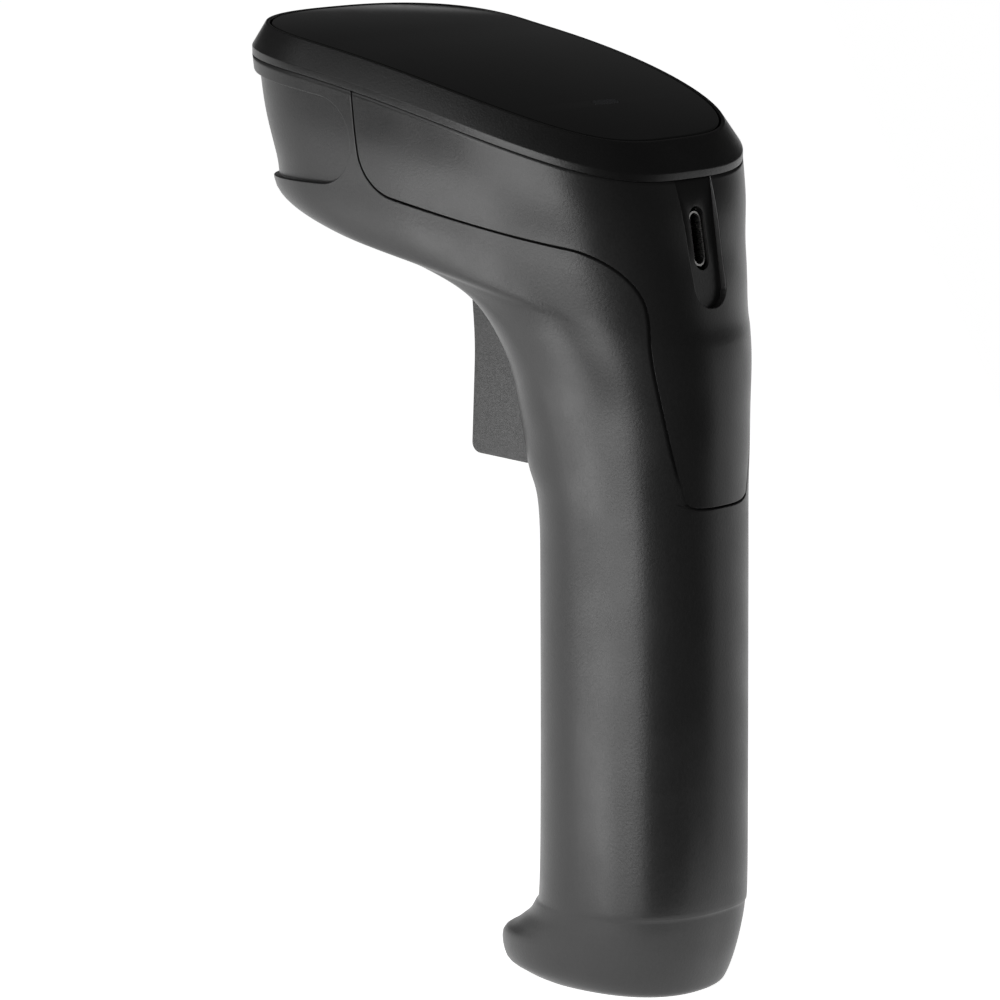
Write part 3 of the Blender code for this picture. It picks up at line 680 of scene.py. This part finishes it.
FINISHES = {
    "grip_plastic": moulded("grip_plastic", 0.014, 0.36, 0.34, 0.011),
    "cover_plastic": moulded("cover_plastic", 0.012, 0.33, 0.3, 0.009),
    "bezel_plastic": moulded("bezel_plastic", 0.007, 0.36, 0.26, 0.016),
    "gloss_panel": polished("gloss_panel", 0.004, 0.07),
    "trigger_plastic": moulded("trigger_plastic", 0.045, 0.52, 0.22, 0.045, spread=0.3),
    "light_pipe": clear("light_pipe", (0.035, 0.038, 0.042), 0.16, transmission=0.5),
    "scan_window_glass": clear("scan_window_glass", (0.32, 0.02, 0.025), 0.04),
    "lens_glass": clear("lens_glass", (0.35, 0.42, 0.6), 0.02, 1.6),
    "foam": foam("foam"),
    "circuit_board": circuit("circuit_board"),
    "chip_plastic": moulded("chip_plastic", 0.012, 0.5, 0.12, 0.008),
    "steel": metal("steel", 0.55, 0.28),
    "bracket_plastic": moulded("bracket_plastic", 0.09, 0.5, 0.3, 0.01, cells=False),
    "battery_sleeve": tinted("battery_sleeve", (0.03, 0.1, 0.32), 0.3, 8.0, 0.05),
    "red_insulation": tinted("red_insulation", (0.45, 0.02, 0.02), 0.42),
    "black_insulation": tinted("black_insulation", (0.015, 0.015, 0.016), 0.42),
    "connector_plastic": tinted("connector_plastic", (0.72, 0.69, 0.6), 0.45),
    "engine_plastic": moulded("engine_plastic", 0.025, 0.5, 0.2, 0.012),
}


# ---------------------------------------------------------------- the pieces

window_place = leaning((0.0, -63.4, 141.4), NOSE_LEAN)
port_place = leaning((0.0, 11.3, 124.7), PORT_LEAN)
BODY_FORM = Form(outer_body("body_form"))
CHEEK_FORM = Form(outer_body("cheek_form", CHEEK_DEPTH))


def cheek_cutter():
    """What is cut away round the nose: a round-ended band, down to a slightly smaller body."""
    y, z = CHEEK_REAR
    top = z + CHEEK_RADIUS
    corners = ((-90.0, z - CHEEK_RADIUS, 0.0),
               (y + CHEEK_RADIUS, z - CHEEK_RADIUS, CHEEK_RADIUS - 0.1),
               (y + CHEEK_RADIUS, top - 1.2, CHEEK_RADIUS - 0.3),
               (-90.0, top + 7.1, 0.0))
    band = prism("cheek_band", corner_arcs(corners, 14), -SIDE_REACH, SIDE_REACH)
    return cut(band, outer_body("cheek_core", CHEEK_DEPTH))


def main_housing():
    """Nose, underside of the head, front of the grip, lower grip and base, as one moulding."""
    made = outer_body("main_housing_moulding")
    hollow = cavity("housing_hollow")
    cut(hollow, block("window_surround", (-17.6, -8.0, -8.6), (17.6, 0.8, 8.6), window_place))
    low, high = cad_box("trigger")
    slot_half = (high.x - low.x) / 2 + SLOT_GAP
    cut(made,
        cheek_cutter(),
        hollow,
        prism("window_opening", plate_outline(14.2, 6.0, 2.5), -14.0, 4.0, "Y", window_place),
        prism("window_seat", plate_outline(16.4, 7.8, 1.8), 0.0, 6.0, "Y", window_place),
        prism("trigger_slot", ((-33.5, 85.1), (-8.0, 85.1), (-8.0, 121.6), (-33.5, 121.6)),
              -slot_half, slot_half),
        prism("back_share", corner_arcs(SEAM, 14), -SIDE_REACH, SIDE_REACH))
    forms = (BODY_FORM, CHEEK_FORM)
    round_cut_edges(made, forms, EDGE)
    shade_from(made, forms)
    return piece("housing_shell", made, FINISHES["grip_plastic"], BODY, ["main_housing"])


def back_cover():
    """Rear of the head and upper back of the grip, with the charging recess."""
    made = outer_body("back_cover_moulding")
    limit = prism("back_limit", corner_arcs(grown(SEAM, -GAP), 14), -SIDE_REACH, SIDE_REACH)
    cut(made, limit, operation="INTERSECT")
    recess = corner_arcs(((-5.0, 16.0, 0.0), (-3.95, -11.4, 3.8), (3.95, -11.4, 3.8),
                          (5.0, 16.0, 0.0)), 14)
    cut(made,
        cavity("cover_hollow"),
        prism("charging_recess", recess, 0.0, 20.0, "Y", port_place),
        prism("port_cutout", plate_outline(1.9, 5.2, 1.85), -12.0, 5.0, "Y", port_place))
    round_cut_edges(made, (BODY_FORM,), EDGE)
    shade_from(made, (BODY_FORM,))
    return piece("rear_cover_shell", made, FINISHES["cover_plastic"], BODY, ["back_cover"])


def top_bezel():
    """Chamfered frame of the head."""
    profile = corner_arcs(BEZEL_SECTION, 5)
    made = smooth(hoop("bezel", profile), 40)
    return piece("bezel_frame", made, FINISHES["bezel_plastic"], BODY, ["top_bezel"])


def top_inlay():
    """Glossy panel in the bezel, and the smoked light pipe that lies flush in it."""
    rings = [rim_ring(inset, lift) for inset, lift in INLAY_SECTION]
    made = loft("inlay", rings)
    panel = loft("panel", rings)
    low, high = cad_box("indicator_light_pipe")
    middle = (low + high) / 2

    def pipe_outline(gap):
        half_u, half_v = (high.x - low.x) / 2 + gap, (high.y - low.y) / 2 + gap
        return [(u + middle.x, v + middle.y)
                for u, v in plate_outline(half_u, half_v, half_v - 0.05)]

    top, tip = high.z + 4.0, high.z - 1.0
    cut(made, prism("indicator_hole", pipe_outline(PIPE_GAP), low.z, top, "Z"))
    light = prism("light_pipe_tip", pipe_outline(0.0), tip, top, "Z")
    cut(light, panel, operation="INTERSECT")
    cut(light, prism("light_pipe_stem", pipe_outline(0.0), low.z, tip, "Z"), operation="UNION")
    smooth(light, 30)
    piece("indicator_lens", light, FINISHES["light_pipe"], BODY, ["indicator_light_pipe"])
    smooth(made, 30)
    return piece("gloss_inlay", made, FINISHES["gloss_panel"], BODY, ["top_inlay"])


def trigger():
    """Finger trigger: a side profile with a hollow front, its edges well rounded."""
    half = cad_box("trigger")[1].x
    pivot = Vector(frame["joints"][0]["pos_m"]) / MM
    corners = ((-31.3, 120.4, 1.0), (-30.1, 105.0, 60.0), (-30.9, 86.7, 1.8), (-18.2, 85.8, 1.0),
               (-18.2, 112.0, 2.0), (-9.2, 112.0, 0.5), (-9.2, 113.8, 0.5), (-17.7, 113.8, 1.0),
               (-17.7, 120.4, 1.0))
    made = prism("trigger_moulding", corner_arcs(corners, 12), -half, half)
    applied(bevelled(made, "round", 1.2, 5))
    cut(made, block("trigger_hollow", (-half + 1.5, -28.9, 88.7), (half - 1.5, 0.0, 111.5)))
    switch_z = cad_middle("switch_plunger").z
    striker_end = cad_box("switch_plunger")[0].y - STRIKER_GAP
    striker = rod("striker", (0, -29.5, switch_z), (0, striker_end, switch_z), 1.8)
    cut(made, striker, operation="UNION")
    cut(made, rod("bore", (-20, pivot.y, pivot.z), (20, pivot.y, pivot.z), 1.32))
    smooth(made)
    return piece("finger_trigger", made, FINISHES["trigger_plastic"], "trigger", ["trigger"])


def dress_cad_nodes():
    """Gives the carried-over CAD nodes their finishes, and the moulded ones rounded edges."""
    slots = {part["node"]: part["material_slot"] for part in frame["record"]["subparts"]}
    for name, node in frame["nodes"].items():
        node.data.materials.clear()
        node.data.materials.append(FINISHES[slots[name]])
        if node.hide_render:
            continue
        bevelled(node, "eased_edges", 0.12 * MM, 2)


# ---------------------------------------------------------------- stage

def direction(azimuth, elevation):
    """The way from the object to an azimuth (0 is -Y, 90 is +X) and elevation, in degrees."""
    a, e = math.radians(azimuth), math.radians(elevation)
    return Vector((math.sin(a) * math.cos(e), -math.cos(a) * math.cos(e), math.sin(e)))


CAMERA_AZIMUTH = 128.0
CAMERA_ELEVATION = 9.5
CAMERA_DISTANCE = 0.9
CAMERA_PAN = 1.503              # degrees to the left of the target
CAMERA_TILT = 0.047             # degrees above it
CAMERA_LENS = 197.6             # millimetres, over a 36 mm sensor
TARGET = Vector((0.0, 0.0, 0.080))
HEAD = Vector((0.0, -0.02, 0.13))
ROOM = 0.045                    # radiance all round
BACKDROP = 1.0                  # radiance of the backdrop
BACKDROP_AZIMUTH = 308.0
BACKDROP_SPREAD = (0.0, 0.45)   # cosines of the angle to its middle: where it begins, where full
BACKDROP_TOP = (0.0, 0.16)      # sines of the elevation: where it starts to fade, where gone
FLOOR_FRONT, FLOOR_BACK = 0.045, -2.2
FLOOR_LEFT, FLOOR_RIGHT = -2.2, 0.1


def camera():
    """Camera behind the scanner and to its right, a little above it, panned to the left."""
    facing = direction(CAMERA_AZIMUTH, CAMERA_ELEVATION).to_track_quat("Z", "Y")
    pan = Euler((math.radians(CAMERA_TILT), math.radians(CAMERA_PAN), 0.0))
    data = bpy.data.cameras.new("camera")
    data.lens = CAMERA_LENS
    data.sensor_width = 36.0
    made = placed("camera", data)
    made.location = TARGET + direction(CAMERA_AZIMUTH, CAMERA_ELEVATION) * CAMERA_DISTANCE
    made.rotation_euler = (facing.to_matrix() @ pan.to_matrix()).to_euler()
    bpy.context.scene.camera = made


def softbox(name, azimuth, elevation, distance, width, height, radiance, aim=TARGET):
    """A soft rectangular light that faces a point, unseen by the camera."""
    data = bpy.data.lights.new(name, "AREA")
    data.shape = "RECTANGLE"
    data.size, data.size_y = width, height
    data.energy = radiance * math.pi * width * height
    made = placed(name, data)
    made.location = aim + direction(azimuth, elevation) * distance
    made.rotation_euler = (aim - made.location).to_track_quat("-Z", "Y").to_euler()
    made.visible_camera = False
    return made


def surroundings():
    """White for the camera; for all else a dim room with a white backdrop behind the scanner."""
    world = bpy.data.worlds.new("studio")
    bpy.context.scene.world = world
    world.use_nodes = True
    tree = world.node_tree
    tree.nodes.clear()

    def mapped(source, low, high, from_low, from_high):
        node = tree.nodes.new("ShaderNodeMapRange")
        node.interpolation_type = "SMOOTHSTEP"
        tree.links.new(source, node.inputs["Value"])
        for key, number in (("From Min", from_low), ("From Max", from_high),
                            ("To Min", low), ("To Max", high)):
            node.inputs[key].default_value = number
        return node.outputs["Result"]

    way = tree.nodes.new("ShaderNodeTexCoord").outputs["Generated"]
    facing = tree.nodes.new("ShaderNodeVectorMath")
    facing.operation = "DOT_PRODUCT"
    tree.links.new(way, facing.inputs[0])
    facing.inputs[1].default_value = direction(BACKDROP_AZIMUTH, 0.0)
    parts = tree.nodes.new("ShaderNodeSeparateXYZ")
    tree.links.new(way, parts.inputs[0])
    across = mapped(facing.outputs["Value"], 0.0, BACKDROP, *BACKDROP_SPREAD)
    strength = tree.nodes.new("ShaderNodeMath")
    strength.operation = "MULTIPLY_ADD"
    tree.links.new(across, strength.inputs[0])
    tree.links.new(mapped(parts.outputs["Z"], 1.0, 0.0, *BACKDROP_TOP), strength.inputs[1])
    strength.inputs[2].default_value = ROOM

    room = tree.nodes.new("ShaderNodeBackground")
    tree.links.new(strength.outputs["Value"], room.inputs["Strength"])
    white = tree.nodes.new("ShaderNodeBackground")
    for background in (room, white):
        background.inputs["Color"].default_value = (1.0, 1.0, 1.0, 1.0)
    path = tree.nodes.new("ShaderNodeLightPath")
    mix = tree.nodes.new("ShaderNodeMixShader")
    out = tree.nodes.new("ShaderNodeOutputWorld")
    tree.links.new(path.outputs["Is Camera Ray"], mix.inputs["Fac"])
    tree.links.new(room.outputs["Background"], mix.inputs[1])
    tree.links.new(white.outputs["Background"], mix.inputs[2])
    tree.links.new(mix.outputs["Shader"], out.inputs["Surface"])


def floor():
    """Pale table top, from a little on the camera's side of the scanner to far behind it."""
    bm = bmesh.new()
    toward = direction(CAMERA_AZIMUTH, 0.0)
    right = Vector((0.0, 0.0, 1.0)).cross(toward)
    outline = ((FLOOR_FRONT, FLOOR_LEFT), (FLOOR_FRONT, FLOOR_RIGHT),
               (FLOOR_BACK, FLOOR_RIGHT), (FLOOR_BACK, FLOOR_LEFT))
    bm.faces.new([bm.verts.new(toward * u + right * v) for u, v in outline])
    made = new_object("floor", bm)
    n = Nodes("floor_white")
    n.feed(Base_Color=n.ramp(n.noise(180.0, 2.0),
                             (0.3, (0.86, 0.86, 0.86)), (0.7, (0.9, 0.9, 0.9))))
    n.set(Roughness=0.9, Emission_Color=(1.0, 1.0, 1.0, 1.0), Emission_Strength=0.98)
    made.data.materials.append(n.material)


def lights():
    """A large key light to the right, one over it, and a low one that lights the head's side."""
    softbox("key", 96.0, 6.0, 0.5, 0.42, 0.46, 4.2)
    softbox("upper", 68.0, 46.0, 0.6, 0.36, 0.3, 1.5)
    softbox("low", 58.0, -27.0, 0.45, 0.28, 0.16, 5.5, HEAD)


camera()
main_housing()
back_cover()
top_bezel()
top_inlay()
trigger()
dress_cad_nodes()
surroundings()
floor()
lights()
bpy.context.scene.view_settings.view_transform = "Standard"
